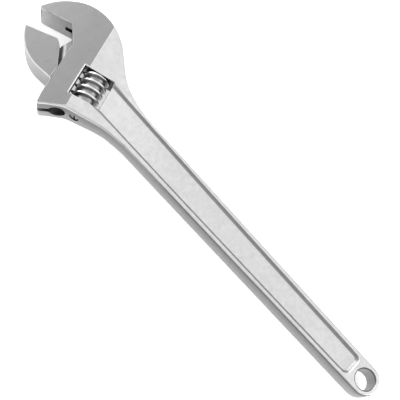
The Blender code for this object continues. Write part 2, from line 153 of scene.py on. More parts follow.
def straight(start, end, spacing=6.0):
    count = max(1, int(np.linalg.norm(np.subtract(end, start)) / spacing))
    share = np.arange(1, count)[:, None] / count
    return np.array(start) * (1 - share) + np.array(end) * share


# %% The body's outline
NECK_HALF_WIDTH = 17.4
TAIL_RADIUS = 13.5
THROAT_REACH = 10.6
THROAT_ANGLE = 60
THROAT = from_head(-THROAT_REACH, JAW_FACE_V)
THROAT_FOOT = from_head(0, JAW_FACE_V - THROAT_REACH * math.tan(math.radians(THROAT_ANGLE)))
BACK_OF_JAW = np.array((
    (-75.1, 67.6), (-70.9, 80.3), (-63.2, 92.1), (-52.6, 101.6), (-39.6, 106.8), (-25.6, 107.9),
    (-11.6, 105.7), (1.4, 100.0), (13.4, 91.7), (25.4, 83.0), (37.4, 76.2), (51.4, 71.7),
    (66.4, 69.0), (80.4, 68.1),
)) + NOSE
UNDER_THE_HEAD = np.array((
    (80.4, 33.3), (67.4, 31.9), (56.4, 30.1), (45.4, 26.5), (32.4, 21.4), (20.6, 16.6),
    (14.4, 12.0), (6.9, 4.9), (3.4, 1.1),
)) + NOSE
tip_corner = from_head(-46.4, JAW_FACE_V)
nose_corner = NOSE + (0.74, -1.79)
tip = eased_corner(THROAT, tip_corner, BACK_OF_JAW[0], 2.4)
nose = eased_corner(UNDER_THE_HEAD[-1], nose_corner, THROAT_FOOT, 2.4)
tail_top = TAIL + (0, TAIL_RADIUS)
tail_foot = TAIL - (0, TAIL_RADIUS)
forged_edge = np.vstack([
    tip,
    smooth_path(BACK_OF_JAW, tip[-1], BACK_OF_JAW[-1] + (14, -0.2)),
    straight(BACK_OF_JAW[-1], tail_top),
    arc(TAIL, TAIL_RADIUS, 90, -90, 28),
    straight(tail_foot, UNDER_THE_HEAD[0]),
    smooth_path(UNDER_THE_HEAD, UNDER_THE_HEAD[0] + (14, 0.2), nose[0])[:-1],
    nose,
])
ground_edge = np.vstack([nose[-1], straight(nose[-1], THROAT_FOOT), THROAT_FOOT, THROAT, tip[0]])
body_outline = np.vstack([forged_edge, ground_edge[1:-1]])
print("body outline:", len(body_outline), "points, box", np.ptp(body_outline, axis=0).round(1))

# %% [markdown]
# ## From a plan to a solid
# A forging like this is almost a height map: from above, every point of it has one height, and
# the far side mirrors it. So the plan is filled with triangles whose lines follow each edge and
# crease, and every vertex is lifted to a height worked out from its distance to those lines.
# That gives true rounded edges and soft recess walls, where a Bevel on a cut mesh would tear.

# %% Distances in the plan
def distance(points, path):
    """How far each point is from an open path."""
    starts, runs = path[:-1], np.diff(path, axis=0)
    lengths = np.maximum((runs**2).sum(axis=1), 1e-12)
    nearest = []
    for part in np.array_split(points, max(1, len(points) // 1500)):
        reach = part[:, None] - starts
        share = np.clip((reach * runs).sum(axis=2) / lengths, 0, 1)
        nearest.append(np.linalg.norm(reach - share[:, :, None] * runs, axis=2).min(axis=1))
    return np.concatenate(nearest)


def closed(path):
    return np.vstack([path, path[:1]])


def is_inside(points, outline):
    """Which points lie inside a closed outline, by counting the edges to their right."""
    inside = np.zeros(len(points), bool)
    x, y = points.T
    for (ax, ay), (bx, by) in zip(outline, np.roll(outline, -1, axis=0)):
        crosses = (ay > y) != (by > y)
        inside ^= crosses & (x < (bx - ax) * (y - ay) / np.where(crosses, by - ay, 1) + ax)
    return inside


def inset(outline, depth):
    """A line inside the outline, or outside it if the depth is negative, that keeps its distance."""
    after = np.roll(outline, -1, axis=0) - outline
    after /= np.linalg.norm(after, axis=1)[:, None]
    before = np.roll(after, 1, axis=0)
    x, y = outline.T
    turn = np.sign((x * np.roll(y, -1) - np.roll(x, -1) * y).sum())
    normal = turn * np.stack([-(after + before)[:, 1], (after + before)[:, 0]], axis=1)
    normal /= np.maximum((normal**2).sum(axis=1), 0.4)[:, None] / 2
    line = outline + depth * normal
    return line[distance(line, closed(outline)) > 0.96 * abs(depth)]


print("tail centre to edge, mm:", distance(TAIL[None], forged_edge).round(2))


# %% Lift a plan
def triangles_between(lines, loose):
    """Fills the plane with triangles that follow the closed lines and use the loose points."""
    points = []
    edges = []
    for line in lines:
        first = len(points)
        points += [Vector(point) for point in line]
        edges += [(first + i, first + (i + 1) % len(line)) for i in range(len(line))]
    points += [Vector(point) for point in loose]
    corners, _, faces, _, _, _ = delaunay_2d_cdt(points, edges, [], 0, 1e-5)
    return np.array([tuple(corner) for corner in corners]), np.array(faces)


# Face kinds: plated and ground are finishes; the wall, side and pocket kinds are darker copies of the
# plate that are painted shade.
PLATED, GROUND_FACE, SHADED_WALL, SHADED_SIDE, SHADED_POCKET = 0.0, 1.0, 2.0, 3.0, 4.0


def mark_faces(mesh, kinds):
    """Notes on each face how it was made, or the painted shade it takes, which the finishes read."""
    mesh.attributes.new("finish_and_shade", "FLOAT", "FACE").data.foreach_set("value", kinds)


def lifted(name, outline, holes, lines, loose, height, wear_and_highlight, shade, top_kinds, wall_kinds):
    """A solid from a plan: its top is lifted, its underside mirrored, and its walls are upright."""
    points, faces = triangles_between([outline] + holes + lines, loose)
    middles = points[faces].mean(axis=1)
    kept = is_inside(middles, outline)
    for hole in holes:
        kept &= ~is_inside(middles, hole)
    faces = faces[kept]
    used, faces = np.unique(faces, return_inverse=True)
    points, faces = points[used], faces.reshape(-1, 3)
    tops = height(points)
    sides = np.concatenate([faces[:, [0, 1]], faces[:, [1, 2]], faces[:, [2, 0]]])
    known = set(map(tuple, sides))
    rim = [(a, b) for a, b in map(tuple, sides) if (b, a) not in known]
    edge_rub = 1.2
    rim_points = sorted({a for a, _ in rim})
    count = len(points)
    solid = [(x, y, z) for (x, y), z in zip(points, tops)]
    solid += [(x, y, -z) for (x, y), z in zip(points, tops)]
    rubs_and_highlights = list(wear_and_highlight(points)) * 2
    belts = []
    for level, ease in ((1.0, edge_rub), (0.0, 0.0), (-1.0, edge_rub)):
        belts.append({point: len(solid) + i for i, point in enumerate(rim_points)})
        solid += [(*points[i], level * max(tops[i] - ease, 0.2)) for i in rim_points]
        rubs_and_highlights += [0.0] * len(rim_points)
    belts = [{i: i for i in rim_points}] + belts + [{i: count + i for i in rim_points}]
    shell = [tuple(face) for face in faces] + [tuple(count + face[::-1]) for face in faces]
    kinds = list(top_kinds(points[faces].mean(axis=1))) * 2
    walls = list(wall_kinds(np.array([(points[a] + points[b]) / 2 for a, b in rim])))
    for upper, lower in zip(belts, belts[1:]):
        shell += [(upper[a], lower[a], lower[b], upper[b]) for a, b in rim]
        kinds += walls
    mesh = bpy.data.meshes.new(name)
    mesh.from_pydata([Vector((x, y, z + MID_HEIGHT)) * MM for x, y, z in solid], [], shell)
    mesh.attributes.new("edge_wear_and_highlight", "FLOAT", "POINT").data.foreach_set("value", rubs_and_highlights)
    shades = list(shade(points)) * 2
    shades += [0.0] * (len(solid) - len(shades))
    mesh.attributes.new("edge_shade", "FLOAT", "POINT").data.foreach_set("value", shades)
    mark_faces(mesh, kinds)
    return bpy.data.objects.new(name, mesh)


# %% [markdown]
# ## Heights of the body
# The blank is thickest at the head and thins along the handle in one long fall. Its edges are
# rounded by the dies. The head's flats are then ground, which leaves a plane that ends in a
# straight line where the surface starts to fall. The handle's recess is a flat floor with
# sloping walls, a little softened at both ends of the slope, as die-formed steel is.

# %% The blank, its ground flat and its recess
GROUND = 13.0
HANDLE_HALF = 9.5
FALL_START = 24.0
FALL_LENGTH = 50.0
STOCK = 0.45
RECESS_FLOOR = 6.5
RECESS_STEEPNESS = 3.0 / 2.7
WALL_FOOT = 0.6
RIM_SOFTNESS = 0.5
EDGE_BREAK = 0.25
WINDOW_BREAK = 0.7


def fall_share(points):
    return np.clip((head_u(points) - FALL_START) / FALL_LENGTH, 0, 1)


def blank_height(points):
    fall = (GROUND - HANDLE_HALF) * np.sin(fall_share(points) * math.pi / 2)
    rise = np.clip(0.11 * (FALL_START - head_u(points)), 0, STOCK)
    return GROUND - fall + rise


def rounded(height, radius, away):
    """The height once its edge has been rounded, at each distance away from the edge."""
    short = np.clip(radius - away, 0, radius)
    return height - radius + np.sqrt(radius**2 - short**2)


def softer_min(a, b, softness):
    overlap = np.maximum(softness - np.abs(a - b), 0) / softness
    return np.minimum(a, b) - overlap**2 * softness / 4


NECK_REACH = 80.4
RECESS_START = 26.5
RECESS_STOP_SHORT = 16.0
RECESS_RIM = 6.0
RECESS_CORNER = 3.0
RECESS_FLARE = 1.8


def recess_floor_outline():
    """The floor narrows with the handle and swings up a little where it meets the head."""
    taper = (NECK_HALF_WIDTH - TAIL_RADIUS) / (TAIL_REACH - NECK_REACH)
    end = TAIL_REACH - RECESS_STOP_SHORT
    reach = np.linspace(RECESS_START, end - RECESS_CORNER, 60)
    half = NECK_HALF_WIDTH - RECESS_RIM - taper * (reach - NECK_REACH)
    end_half = NECK_HALF_WIDTH - RECESS_RIM - taper * (end - NECK_REACH)
    flare = np.linspace(1, 0, 60) ** 3 * RECESS_FLARE
    side = np.stack([reach, half + flare], axis=1)
    foot = np.stack([reach, flare - half], axis=1)
    centre = np.array((end - RECESS_CORNER, end_half - RECESS_CORNER))
    upper = arc(centre, RECESS_CORNER, 90, 0, 6)
    lower = arc(centre * (1, -1), RECESS_CORNER, 0, -90, 6)
    return np.vstack([side, upper, lower, foot[::-1]]) + (NOSE[0], TAIL[1])


recess_floor = recess_floor_outline()
window = np.array([from_head(20, 21.8), from_head(50, 22.8), from_head(50, 53.2), from_head(20, 54.2)])
window = np.vstack([
    np.vstack([corner, straight(corner, following, 3.0)])
    for corner, following in zip(window, np.roll(window, -1, axis=0))
])
HOLE_RADIUS = 9.0
HOLE_CHAMFER = 1.1
tail_hole = arc(TAIL, HOLE_RADIUS, 0, 360, 56)[:-1]


def body_height(points):
    radius = 2.5 - 0.9 * fall_share(points)
    top = rounded(blank_height(points), radius, distance(points, forged_edge))
    top = np.minimum(top, GROUND)
    out = distance(points, recess_floor) * np.where(is_inside(points, recess_floor), -1, 1)
    foot = np.maximum(out + WALL_FOOT / 2, 0)
    wall = RECESS_FLOOR + RECESS_STEEPNESS * (np.hypot(foot, WALL_FOOT) - WALL_FOOT)
    top = softer_min(top, wall, RIM_SOFTNESS)
    for path, width in ((ground_edge, EDGE_BREAK), (closed(window), WINDOW_BREAK)):
        top = top - np.maximum(width - distance(points, path), 0)
    return top - np.maximum(HOLE_CHAMFER - distance(points, closed(tail_hole)), 0)


# Lightened edges: rubbed wear along the outline, and painted highlights along the window's bevel, the
# hole's chamfer and the recess's rim.
def body_wear_and_highlight(points):
    window_rim = np.maximum(distance(points, closed(window)) - WINDOW_BREAK, 0)
    hole_rim = np.abs(distance(points, closed(tail_hole)) - HOLE_CHAMFER)
    recess_rim = np.abs(distance(points, recess_floor) - 2.9) + 3 * is_inside(points, recess_floor)
    rims = np.minimum(np.minimum(window_rim, hole_rim), recess_rim)
    outer = distance(points, closed(body_outline))
    return np.exp(-((rims / 0.4) ** 2)) + 0.2 * np.exp(-((outer / 0.5) ** 2))


def body_shade(points):
    """A painted dark line, as shade, along the foot of the rounded edge for the handle's length."""
    along_handle = np.clip((points[:, 0] - NOSE[0] - 20) / 120, 0, 1)
    return along_handle * np.exp(-((distance(points, forged_edge) / 0.7) ** 2))


def body_tops(points):
    """The recess's walls take a darker plate and the hole's chamfer a near-black one, both as painted
    shade.
    """
    on_wall = (distance(points, recess_floor) < 2.45) & ~is_inside(points, recess_floor)
    on_chamfer = distance(points, closed(tail_hole)) < HOLE_CHAMFER - 0.1
    return np.where(on_chamfer, SHADED_POCKET, np.where(on_wall, SHADED_WALL, PLATED))


def body_walls(points):
    """The window's walls are painted near black, the jaw's face and the hole's wall a darker plate, all as
    shade; the slide is ground; the rest is forged and takes the painted side shade.
    """
    kinds = np.where(distance(points, ground_edge) < 0.1, GROUND_FACE, SHADED_SIDE)
    kinds = np.where(distance(points, np.array((THROAT, tip[0]))) < 0.1, SHADED_WALL, kinds)
    kinds = np.where(distance(points, closed(window)) < 0.1, SHADED_POCKET, kinds)
    return np.where(distance(points, closed(tail_hole)) < 0.3, SHADED_WALL, kinds)


# %% The body as a solid
def field_of_points(outline, low, high, step, clearance):
    """Loose points on a grid that keep clear of the outline's edge."""
    x, y = np.meshgrid(np.arange(low[0], high[0], step), np.arange(low[1], high[1], step))
    points = np.stack([x.ravel(), y.ravel()], axis=1)
    points = points[is_inside(points, outline)]
    return points[distance(points, closed(outline)) > clearance]


rounding_lines = [inset(body_outline, depth) for depth in (0.08, 0.3, 0.62, 1.0, 1.5, 2.0, 2.6)]
recess_depths = (0.8, -0.01, -0.4, -1.0, -1.9, -2.4, -2.8, -3.3, -4.2)
recess_lines = [inset(recess_floor, depth) for depth in recess_depths]
hole_lines = [arc(TAIL, HOLE_RADIUS + grow, 0, 360, 56)[:-1] for grow in (0.55, 1.1, 1.25, 1.7, 2.2)]
window_lines = [inset(window, -depth) for depth in (0.35, 0.7, 1.0, 1.4, 1.9)]
crease = [
    np.array([from_head(FALL_START + shift, v) for v in np.arange(-8, 112, 2.5)])
    for shift in (-0.5, 0.0, 0.5)
]
crease_lines = [np.vstack([line, line[::-1][1:-1] + 1e-4]) for line in crease]
loose = field_of_points(body_outline, NOSE + (-20, -5), NOSE + (95, 112), 2.2, 2.8)
loose = loose[distance(loose, recess_floor) > 0.8]
body_blank = lifted(
    "wrench_body", body_outline, [window, tail_hole],
    rounding_lines + recess_lines + hole_lines + window_lines + crease_lines,
    loose, body_height, body_wear_and_highlight, body_shade, body_tops, body_walls,
)
print("body blank:", len(body_blank.data.polygons), "faces")

# %% [markdown]
# ## Boring and slotting
# The body's hidden work runs along the slide: a round channel for the rail, a slot for the web
# that joins the rail to the jaw, and a stepped bore for the worm's pin. Each is a simple solid
# subtracted from the forging, as a drill or a cutter would do it. The turned ones are made by
# carrying a profile round an axis.

# %% Tools for turned shapes and cuts
def solid_from(work, name, kind):
    """An object from a mesh under construction, with its faces turned out and marked."""
    bmesh.ops.recalc_face_normals(work, faces=work.faces)
    mesh = bpy.data.meshes.new(name)
    work.to_mesh(mesh)
    work.free()
    mark_faces(mesh, [kind] * len(mesh.polygons))
    return bpy.data.objects.new(name, mesh)


def turned(name, profile, place, steps=56, kind=SHADED_POCKET):
    """A closed solid turned from (radius, height) points that start and end on the axis."""
    work = bmesh.new()
    rings = []
    for radius, height in profile:
        if radius == 0:
            rings.append([work.verts.new((0, 0, height))])
            continue
        angles = [2 * math.pi * i / steps for i in range(steps)]
        ring = [work.verts.new((radius * math.cos(a), radius * math.sin(a), height)) for a in angles]
        rings.append(ring)
    for low, high in zip(rings, rings[1:]):
        for i in range(steps):
            j = (i + 1) % steps
            face = [low[i % len(low)], low[j % len(low)], high[j % len(high)], high[i % len(high)]]
            work.faces.new(list(dict.fromkeys(face)))
    work.transform(place)
    return solid_from(work, name, kind)


def prism(name, outline, half_height, kind=SHADED_POCKET):
    """An upright solid on a plan outline, centred at mid-thickness."""
    count = len(outline)
    points = [(x, y, z) for z in (-half_height, half_height) for x, y in outline]
    faces = [(i, (i + 1) % count, count + (i + 1) % count, count + i) for i in range(count)]
    faces += [tuple(range(count)), tuple(range(count, 2 * count))]
    work = bmesh.new()
    corners = [work.verts.new(Vector((x, y, z + MID_HEIGHT)) * MM) for x, y, z in points]
    for face in faces:
        work.faces.new([corners[i] for i in face])
    return solid_from(work, name, kind)


def settled(guide):
    """A plain mesh object made from the guide as it is now, which then goes."""
    bpy.context.view_layer.update()
    graph = bpy.context.evaluated_depsgraph_get()
    mesh = bpy.data.meshes.new_from_object(guide.evaluated_get(graph))
    name = guide.name
    bpy.data.objects.remove(guide)
    made = bpy.data.objects.new(name, mesh)
    bpy.context.scene.collection.objects.link(made)
    return made


def joined_or_cut(solid, tools, operation):
    """The solid after each tool has been added to it or cut from it."""
    for thing in [solid] + tools:
        if not thing.users_collection:
            bpy.context.scene.collection.objects.link(thing)
    for tool in tools:
        boolean = solid.modifiers.new(tool.name, "BOOLEAN")
        boolean.operation = operation
        boolean.solver = "MANIFOLD"
        boolean.object = tool
    made = settled(solid)
    for tool in tools:
        bpy.data.objects.remove(tool)
    return made


# %% Bore and slot the body
CHANNEL_U = 17.4
WORM_U = 33.3
SLOT_HALF = 2.8
# The faces that these tools cut take the pocket kind, which is painted near black as shade.
channel = turned(
    "channel",
    ((0, 98.5), (6.9, 98.5), (7.4, 98.0), (7.4, -30), (0, -30)),
    axis_place(CHANNEL_U, 0),
)
slot = prism(
    "slot",
    [from_head(u, v) for u, v in (
        (CHANNEL_U, -30), (CHANNEL_U, 101), (-6.0, 101), (-17.5, 87), (-20, 84), (-20, -30),
    )],
    SLOT_HALF,
)
pin_bore = turned(
    "pin_bore",
    ((0, 62.4), (3.5, 62.4), (3.5, 18.6), (4.6, 18.6), (4.6, -10), (0, -10)),
    axis_place(WORM_U, 0),
)
wrench_body = joined_or_cut(body_blank, [channel, slot, pin_bore], "DIFFERENCE")
print("body:", len(wrench_body.data.polygons), "faces")

# %% [markdown]
# ## The movable jaw
# The jaw's outer side is forged, and everything that works is machined: the face that grips, the
# diagonal that clears the throat and the side that slides. The same lifting gives its rounded
# forged edge and its ground flat. Four straight cuts then trim the forging's outline, so the
# curve is drawn past them and clipped.

# %% The movable jaw's outline
JAW_SIDE = np.array((
    (-68.0, 42.4), (-64.7, 38.6), (-59.6, 33.8), (-54.6, 30.2), (-49.6, 27.5), (-44.6, 25.3),
    (-39.6, 23.9), (-34.6, 23.1), (-29.6, 22.9), (-24.6, 23.2), (-19.6, 23.7), (-10.6, 24.6),
)) + NOSE
jaw_side = smooth_path(JAW_SIDE, JAW_SIDE[0] + (-3, 4), JAW_SIDE[-1] + (9, 1))
face_v = JAW_FACE_V - OPENING
jaw_corners = [(-80, face_v), (-14.3, face_v), (-9.7, face_v - 4.4), (-0.3, face_v - 26.5), (-0.3, 0)]
jaw_stock = np.vstack([jaw_side, NOSE + ((10, 26), (6, 70), (-76, 56))])


def clipped(outline, start, end):
    """The part of an outline on the right of the line from start to end."""
    ahead = end - start
    side = (outline[:, 1] - start[1]) * ahead[0] - (outline[:, 0] - start[0]) * ahead[1]
    kept = []
    for i in range(len(outline)):
        j = (i + 1) % len(outline)
        if side[i] <= 0:
            kept.append(outline[i])
        if (side[i] < 0) != (side[j] < 0):
            share = side[i] / (side[i] - side[j])
            kept.append(outline[i] + share * (outline[j] - outline[i]))
    return np.array(kept)


jaw_outline = jaw_stock
machined = [from_head(u, v) for u, v in jaw_corners]
for start, end in zip(machined, machined[1:]):
    jaw_outline = clipped(jaw_outline, start, end)
jaw_cut_edge = np.array(machined)
print("movable jaw's outline:", len(jaw_outline), "points")


def jaw_height(points):
    top = rounded(np.full(len(points), GROUND + STOCK), 2.5, distance(points, jaw_side))
    top = np.minimum(top, GROUND)
    return top - np.maximum(EDGE_BREAK - distance(points, jaw_cut_edge), 0)


def jaw_wear_and_highlight(points):
    return 0.2 * np.exp(-((distance(points, closed(jaw_outline)) / 0.5) ** 2))


def jaw_shade(points):
    return np.zeros(len(points))


def jaw_tops(points):
    return np.full(len(points), PLATED)


def jaw_walls(points):
    # The forged walls take the darker wall copy of the plate, as painted shade.
    return np.where(distance(points, jaw_cut_edge) < 0.1, GROUND_FACE, SHADED_WALL)


jaw_lines = [inset(jaw_outline, depth) for depth in (0.08, 0.3, 0.62, 1.0, 1.5, 2.0)]
no_loose = np.zeros((0, 2))
jaw_head = lifted(
    "sliding_jaw", jaw_outline, [], jaw_lines, no_loose,
    jaw_height, jaw_wear_and_highlight, jaw_shade, jaw_tops, jaw_walls,
)
print("jaw head:", len(jaw_head.data.polygons), "faces")

# %% [markdown]
# ## Node trees written as arithmetic
# The thread, the rack and every finish follow a rule, and rules read best as formulas. A `Wire`
# holds one output of a node tree, and Python's own operators on it add the Math nodes. Any other
# node comes from `add`, with its settings first and then what goes into its sockets. The same
# class serves Geometry Nodes and shaders, because both trees use the same Math node.

# %% Wires
class Wire:
    """One output of a node tree, on which arithmetic adds Math nodes."""

    def __init__(self, tree, node, socket):
        self.tree = tree
        self.node = node
        self.socket = socket

    def out(self, name):
        return Wire(self.tree, self.node, self.node.outputs[name])

    def maths(self, operation, *others):
        values = dict(enumerate((self,) + others))
        return add(self.tree, "ShaderNodeMath", {"operation": operation}, values)

    def __add__(self, other):
        return self.maths("ADD", other)

    def __sub__(self, other):
        return self.maths("SUBTRACT", other)

    def __mul__(self, other):
        return self.maths("MULTIPLY", other)

    def __truediv__(self, other):
        return self.maths("DIVIDE", other)

    def __rsub__(self, other):
        return add(self.tree, "ShaderNodeMath", {"operation": "SUBTRACT"}, {0: other, 1: self})

    __radd__ = __add__
    __rmul__ = __mul__


def add(tree, kind, settings=None, values=None, out=0):
    """Adds a node: first its settings, then the values or wires of its sockets."""
    node = tree.nodes.new(kind)
    for name, value in (settings or {}).items():
        setattr(node, name, value)
    for key, value in (values or {}).items():
        if isinstance(value, Wire):
            tree.links.new(value.socket, node.inputs[key])
        else:
            node.inputs[key].default_value = value
    return Wire(tree, node, node.outputs[out] if len(node.outputs) else None)


def geometry_tree(name, sizes):
    """An empty geometry tree with a named input for each size and one for the material."""
    tree = bpy.data.node_groups.new(name, "GeometryNodeTree")
    tree.interface.new_socket("Geometry", in_out="OUTPUT", socket_type="NodeSocketGeometry")
    for size, value in sizes.items():
        kind = "NodeSocketInt" if isinstance(value, int) else "NodeSocketFloat"
        tree.interface.new_socket(size, in_out="INPUT", socket_type=kind)
    tree.interface.new_socket("Material", in_out="INPUT", socket_type="NodeSocketMaterial")
    return tree, add(tree, "NodeGroupInput")


def end_tree(tree, shape, given):
    """Realises what the tree made, gives it its material and sends it out."""
    real = add(tree, "GeometryNodeRealizeInstances", {}, {"Geometry": shape})
    dressed = add(
        tree, "GeometryNodeSetMaterial", {}, {"Geometry": real, "Material": given.out("Material")}
    )
    add(tree, "NodeGroupOutput", {}, {"Geometry": dressed})


def grown(name, tree, sizes, material, place):
    """Runs a geometry tree and returns its result as a plain mesh in its place."""
    guide = bpy.data.objects.new(name, bpy.data.meshes.new(name))
    bpy.context.scene.collection.objects.link(guide)
    modifier = guide.modifiers.new(name, "NODES")
    modifier.node_group = tree
    for item in tree.interface.items_tree:
        if item.in_out == "INPUT" and item.name in sizes:
            modifier[item.identifier] = sizes[item.name]
        if item.name == "Material":
            modifier[item.identifier] = material
    piece = settled(guide)
    piece.data.transform(place)
    work = bmesh.new()
    work.from_mesh(piece.data)
    bmesh.ops.recalc_face_normals(work, faces=work.faces)
    work.to_mesh(piece.data)
    work.free()
    return piece


# %% [markdown]
# ## Plate, ground flats and bare steel
# The forging is plated satin: bright, slightly blurred, with an orange peel about a millimetre
# across from the shot-blasted steel under it. The head's flats were ground after forging, so they
# are smoother and look darker, with fine lines from the belt. Edges are lightened, partly as wear
# rubbed bright by hands and by the toolbox and partly as painted highlight along rims and bevels.
# Walls, pockets and the handle's sides get darker copies of the plate as painted shade, and a
# painted shadow and highlight run beside the movable jaw's diagonal. The worm and its pin are
# turned steel, and the worm's grooves are painted darker as shade. All of it is procedural, on
# object coordinates, so it stays put when a piece moves.

# %% Finish helpers
def new_finish(name):
    material = bpy.data.materials.new(name)
    material.use_nodes = True
    tree = material.node_tree
    tree.nodes.clear()
    place = add(tree, "ShaderNodeTexCoord").out("Object")
    return material, tree, place


def noise(tree, place, scale, detail=2.0, stretch=None):
    if stretch:
        place = add(tree, "ShaderNodeMapping", {}, {"Vector": place, "Scale": stretch})
    values = {"Vector": place, "Scale": scale, "Detail": detail}
    return add(tree, "ShaderNodeTexNoise", {}, values)


def between(tree, share, low, high):
    """A colour between two others, by a share from 0 to 1."""
    values = {0: share, 6: (*low, 1.0), 7: (*high, 1.0)}
    return add(tree, "ShaderNodeMix", {"data_type": "RGBA"}, values, out=2)


def blended(tree, share, first, second):
    return add(tree, "ShaderNodeMix", {"data_type": "RGBA"}, {0: share, 6: first, 7: second}, out=2)


def step_up(tree, value, low, high):
    """0 below low and 1 above high, with a smooth climb between."""
    settings = {"interpolation_type": "SMOOTHSTEP"}
    return add(tree, "ShaderNodeMapRange", settings, {"Value": value, "From Min": low, "From Max": high})


def end_finish(tree, colour, roughness, height, metallic=1.0, depth=0.0001, glow=0.0):
    bump = add(tree, "ShaderNodeBump", {}, {"Height": height, "Strength": 1.0, "Distance": depth})
    values = {"Base Color": colour, "Roughness": roughness, "Metallic": metallic, "Normal": bump}
    if glow:
        values |= {"Emission Color": (1.0, 1.0, 1.0, 1.0), "Emission Strength": glow}
    shader = add(tree, "ShaderNodeBsdfPrincipled", {}, values)
    add(tree, "ShaderNodeOutputMaterial", {}, {"Surface": shader})


# %% Satin plate with ground flats
def satin_plate(name, ground_limit_u, shadow_and_highlight_line=None):
    """Satin plate, with flats ground up to a distance across the head from the slide.

    A shadow and highlight line is a point in plan and a direction away from the edge, along which a
    painted shadow band and then a painted highlight strip run.
    """
    material, tree, place = new_finish(name)
    parts = add(tree, "ShaderNodeSeparateXYZ", {}, {0: place})
    x, y, z = parts.out("X"), parts.out("Y"), parts.out("Z")
    u = (x - NOSE[0] * MM) * float(ACROSS[0]) + (y - NOSE[1] * MM) * float(ACROSS[1])
    level = (z - MID_HEIGHT * MM).maths("ABSOLUTE")
    flat = step_up(tree, level, (GROUND - 0.07) * MM, (GROUND - 0.05) * MM)
    flat = flat * (1 - step_up(tree, u, (ground_limit_u + 0.3) * MM, (ground_limit_u + 0.5) * MM))

    peel = noise(tree, place, 950.0, 3.0)
    mottle = noise(tree, place, 210.0, 4.0)
    cloud = noise(tree, place, 38.0, 3.0)
    belt = noise(tree, place, 1.0, 3.0, stretch=(900.0, 90.0, 900.0))
    rub_and_highlight = add(tree, "ShaderNodeAttribute", {"attribute_name": "edge_wear_and_highlight"}).out("Fac")
    rub_and_highlight = (rub_and_highlight * (0.55 + mottle * 0.7)).maths("MINIMUM", 1.0)
    finish_and_shade = add(tree, "ShaderNodeAttribute", {"attribute_name": "finish_and_shade"}).out("Fac")
    is_face = 1 - step_up(tree, (finish_and_shade - GROUND_FACE).maths("ABSOLUTE"), 0.4, 0.6)
    is_shaded_wall = 1 - step_up(tree, (finish_and_shade - SHADED_WALL).maths("ABSOLUTE"), 0.4, 0.6)
    is_shaded_side = 1 - step_up(tree, (finish_and_shade - SHADED_SIDE).maths("ABSOLUTE"), 0.4, 0.6)
    is_shaded_pocket = step_up(tree, finish_and_shade, SHADED_POCKET - 0.6, SHADED_POCKET - 0.4)
    shade = add(tree, "ShaderNodeAttribute", {"attribute_name": "edge_shade"}).out("Fac")
    flat = flat.maths("MAXIMUM", is_face)

    plate = between(tree, peel * 0.4 + mottle * 0.4 + cloud * 0.2, (0.37, 0.37, 0.372), (0.72, 0.72, 0.72))
    # Forged side walls: a darker copy of the plate as painted shade, darkest at the top and lighter
    # towards the bottom.
    shade_fades_downwards = 1 - step_up(tree, z, 3.0 * MM, 21.0 * MM)
    side = between(tree, shade_fades_downwards * 0.75 + peel * 0.35 - 0.05, (0.14, 0.14, 0.142), (0.38, 0.38, 0.38))
    # Recess walls, the jaws' faces and walls and the hole's wall: a darker copy of the plate, as painted
    # shade.
    shaded_wall = between(tree, peel * 0.5 + mottle * 0.5, (0.22, 0.22, 0.222), (0.46, 0.46, 0.46))
    ground = between(tree, belt * 0.6 + cloud * 0.4, (0.235, 0.235, 0.237), (0.27, 0.27, 0.27))
    # Window walls, bores, slots and the hole's chamfer: painted near black, as the shade inside them.
    shaded_pocket = between(tree, mottle, (0.06, 0.06, 0.062), (0.17, 0.17, 0.17))
    colour = blended(tree, is_shaded_side, plate, side)
    colour = blended(tree, is_shaded_wall, colour, shaded_wall)
    colour = blended(tree, flat, colour, ground)
    colour = blended(tree, is_shaded_pocket, colour, shaded_pocket)
    # A painted dark line along the foot of the rounded edge, as shade.
    colour = blended(tree, shade, colour, between(tree, mottle, (0.015,) * 3, (0.05,) * 3))
    # Lightened edges: partly rubbed wear, partly painted highlight along rims and bevels.
    worn_and_highlit = between(tree, rub_and_highlight, (0.6, 0.6, 0.6), (0.9, 0.9, 0.895))
    colour = blended(tree, rub_and_highlight * 0.7, colour, worn_and_highlit)
    # Beside the jaw's diagonal, low on the web: a painted shadow band where the web meets the jaw, then a
    # painted highlight strip.
    if shadow_and_highlight_line:
        (x0, y0), (away_x, away_y) = shadow_and_highlight_line
        away = (x - x0 * MM) * away_x + (y - y0 * MM) * away_y
        low = 1 - step_up(tree, level, 4.0 * MM, 6.0 * MM)
        painted_shadow = (1 - step_up(tree, away, 2.4 * MM, 3.1 * MM)) * step_up(tree, away, 0.0, 0.2 * MM) * low
        bright = (1 - step_up(tree, (away - 4.6 * MM).maths("ABSOLUTE"), 0.5 * MM, 1.4 * MM)) * low * 0.7
        colour = blended(tree, bright, colour, plate)
        colour = blended(tree, painted_shadow, colour, between(tree, mottle, (0.02,) * 3, (0.08,) * 3))
    rough = 0.34 + mottle * 0.16
    rough = rough + flat * (belt * 0.12 - 0.16)
    rough = rough - rub_and_highlight * 0.08
    height = (peel * 0.8 + mottle * 0.8) * (1 - flat) + belt * flat * 0.12
    end_finish(tree, colour, rough, height, depth=0.00013)
    return material


body_plate = satin_plate("satin_plate_body", FALL_START)
# Point and direction for the movable jaw's painted shadow band and highlight strip.
diagonal_end = machined[3]
diagonal = machined[2] - diagonal_end
across_diagonal = np.array((diagonal[1], -diagonal[0])) / np.linalg.norm(diagonal)
shadow_and_highlight_line = ([float(value) for value in diagonal_end], [float(value) for value in across_diagonal])
jaw_plate = satin_plate("satin_plate_jaw", 0.0, shadow_and_highlight_line)
print("plate nodes:", len(body_plate.node_tree.nodes), len(jaw_plate.node_tree.nodes))


